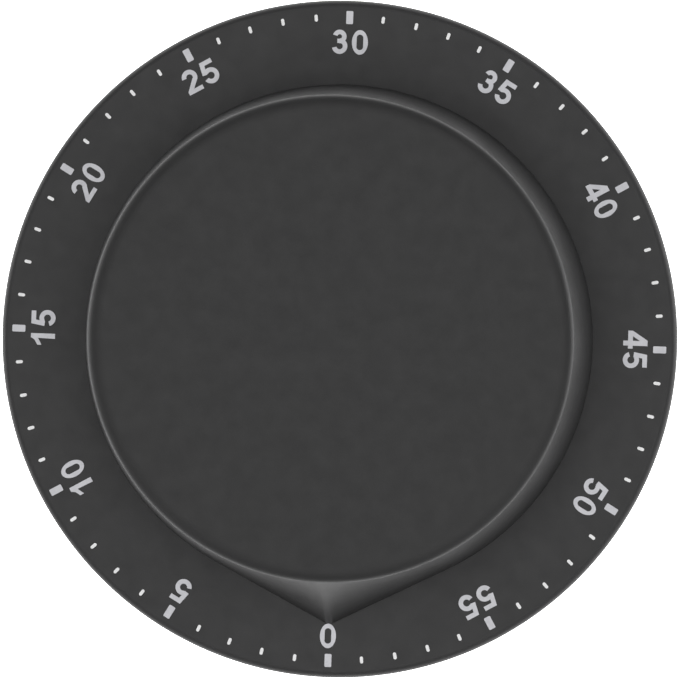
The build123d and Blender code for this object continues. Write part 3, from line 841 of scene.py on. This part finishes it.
@dataclass(frozen=True)
class Softbox:
    """Square soft light that faces the object, sized in metres and powered in watts."""

    name: str
    towards: tuple[float, float, float]
    distance: float
    size: float
    power: float

    def build(self) -> None:
        """Make the light and turn it to the object."""
        light = bpy.data.lights.new(self.name, "AREA")
        light.shape = "SQUARE"
        light.size = self.size
        light.energy = self.power
        lamp = bpy.data.objects.new(self.name, light)
        bpy.context.scene.collection.objects.link(lamp)
        out = Vector(self.towards).normalized()
        turn = (-out).to_track_quat("-Z", "Y").to_matrix().to_4x4()
        lamp.matrix_world = Matrix.Translation(out * self.distance) @ turn


@dataclass
class Studio:
    """Floor, soft lights and camera."""

    roll: float = 1.95
    side: float = 4.6
    rise: float = 0.1
    lens: float = 1056.5
    distance: float = 2.50
    aim: tuple[float, float, float] = (0.00004, -0.00006, 0.0205)
    floor_half: float = 1.5
    floor_glow: float = 2.4
    sky: tuple[tuple[float, float], ...] = ((0.0, 1.0), (0.22, 1.0), (0.38, 0.04), (0.82, 0.04),
                                            (0.94, 0.25), (1.0, 0.25))
    sky_strength: float = 1.25
    lights: tuple[Softbox, ...] = (
        Softbox("overhead", (0.02, -0.02, 1.0), 1.2, 1.10, 8.8),
        Softbox("low_left", (-0.9, 0.05, 0.16), 1.0, 0.40, 2.3),
        Softbox("low_right", (0.9, 0.15, 0.16), 1.0, 0.40, 2.9),
        Softbox("near_left", (-0.50, -0.50, 0.74), 1.2, 0.55, 1.2),
        Softbox("near_right", (0.50, -0.54, 0.74), 1.2, 0.50, 1.4))

    def build(self) -> None:
        """Make the whole studio."""
        scene = bpy.context.scene
        scene.view_settings.view_transform = "Standard"
        scene.view_settings.look = "None"
        self.surroundings()
        self.floor()
        for light in self.lights:
            light.build()
        self.camera()

    def surroundings(self) -> None:
        """White low down, dark between, and soft light overhead."""
        world = bpy.data.worlds.new("surroundings")
        bpy.context.scene.world = world
        world.use_nodes = True
        tree = world.node_tree
        back = tree.nodes["Background"]
        place = tree.nodes.new("ShaderNodeTexCoord")
        split = tree.nodes.new("ShaderNodeSeparateXYZ")
        ramp = tree.nodes.new("ShaderNodeValToRGB")
        tree.links.new(place.outputs["Generated"], split.inputs["Vector"])
        tree.links.new(split.outputs["Z"], ramp.inputs["Fac"])
        tree.links.new(ramp.outputs["Color"], back.inputs["Color"])
        bands = ramp.color_ramp
        while len(bands.elements) < len(self.sky):
            bands.elements.new(0.5)
        for band, (place_z, level) in zip(bands.elements, self.sky):
            band.position = place_z
            band.color = (level, level, level, 1.0)
        back.inputs["Strength"].default_value = self.sky_strength

    def floor(self) -> None:
        """Wide pale floor under the feet."""
        bm = bmesh.new()
        bmesh.ops.create_grid(bm, x_segments=1, y_segments=1, size=self.floor_half)
        mesh = bpy.data.meshes.new("floor")
        bm.to_mesh(mesh)
        bm.free()
        plane = bpy.data.objects.new("floor", mesh)
        bpy.context.scene.collection.objects.link(plane)
        bench = ShaderBench("floor_paper")
        fibre = bench.noise(900.0, 3.0, 0.6)
        bench.into(bench.colour(fibre, (0.93, 0.93, 0.93), (0.96, 0.96, 0.96)), "Base Color")
        bench.constant("Roughness", 0.9)
        bench.shader.inputs["Emission Color"].default_value = (1.0, 1.0, 1.0, 1.0)
        bench.constant("Emission Strength", self.floor_glow)
        mesh.materials.append(bench.material)

    def camera(self) -> None:
        """Long lens, almost straight down."""
        roll = math.radians(self.roll)
        across = Vector((math.cos(roll), math.sin(roll), 0.0))
        up = Vector((-math.sin(roll), math.cos(roll), 0.0))
        back = (across * math.tan(math.radians(self.side)) - up * math.tan(math.radians(self.rise))
                + Vector((0.0, 0.0, 1.0))).normalized()
        x_axis = up.cross(back).normalized()
        y_axis = back.cross(x_axis)
        data = bpy.data.cameras.new("camera")
        data.lens = self.lens
        data.sensor_width = 36.0
        data.clip_start = 0.01
        data.clip_end = 20.0
        cam = bpy.data.objects.new("camera", data)
        bpy.context.scene.collection.objects.link(cam)
        rotation = Matrix((x_axis, y_axis, back)).transposed().to_4x4()
        cam.matrix_world = Matrix.Translation(Vector(self.aim) + back * self.distance) @ rotation
        bpy.context.scene.camera = cam


def dress(material: bpy.types.Material, *names: str) -> None:
    """Give CAD nodes their finish.

    Args:
        material: The finish.
        names: Names of the nodes.
    """
    for name in names:
        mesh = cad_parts[name].data
        mesh.materials.clear()
        mesh.materials.append(material)
        LOG.info("dressed %s in %s", name, material.name)


def main() -> None:
    """Build the timer's looks and its studio."""
    logging.basicConfig(level=logging.INFO, format="%(message)s", stream=sys.stdout)
    builders: list[tuple[str, Callable[[], bpy.types.Object | None]]] = [
        ("dial housing", DialHousing().build), ("turning knob", TurningKnob().build),
        ("dial print", DialPrint().build), ("rear case", RearCase().build),
        ("movement", Movement().build), ("studio", Studio().build)]
    for name, build in builders:
        piece = build()
        faces = len(piece.data.polygons) if piece else 0
        LOG.info("%s built%s", name, f", {faces} faces" if faces else "")


if __name__ == "__main__":
    main()
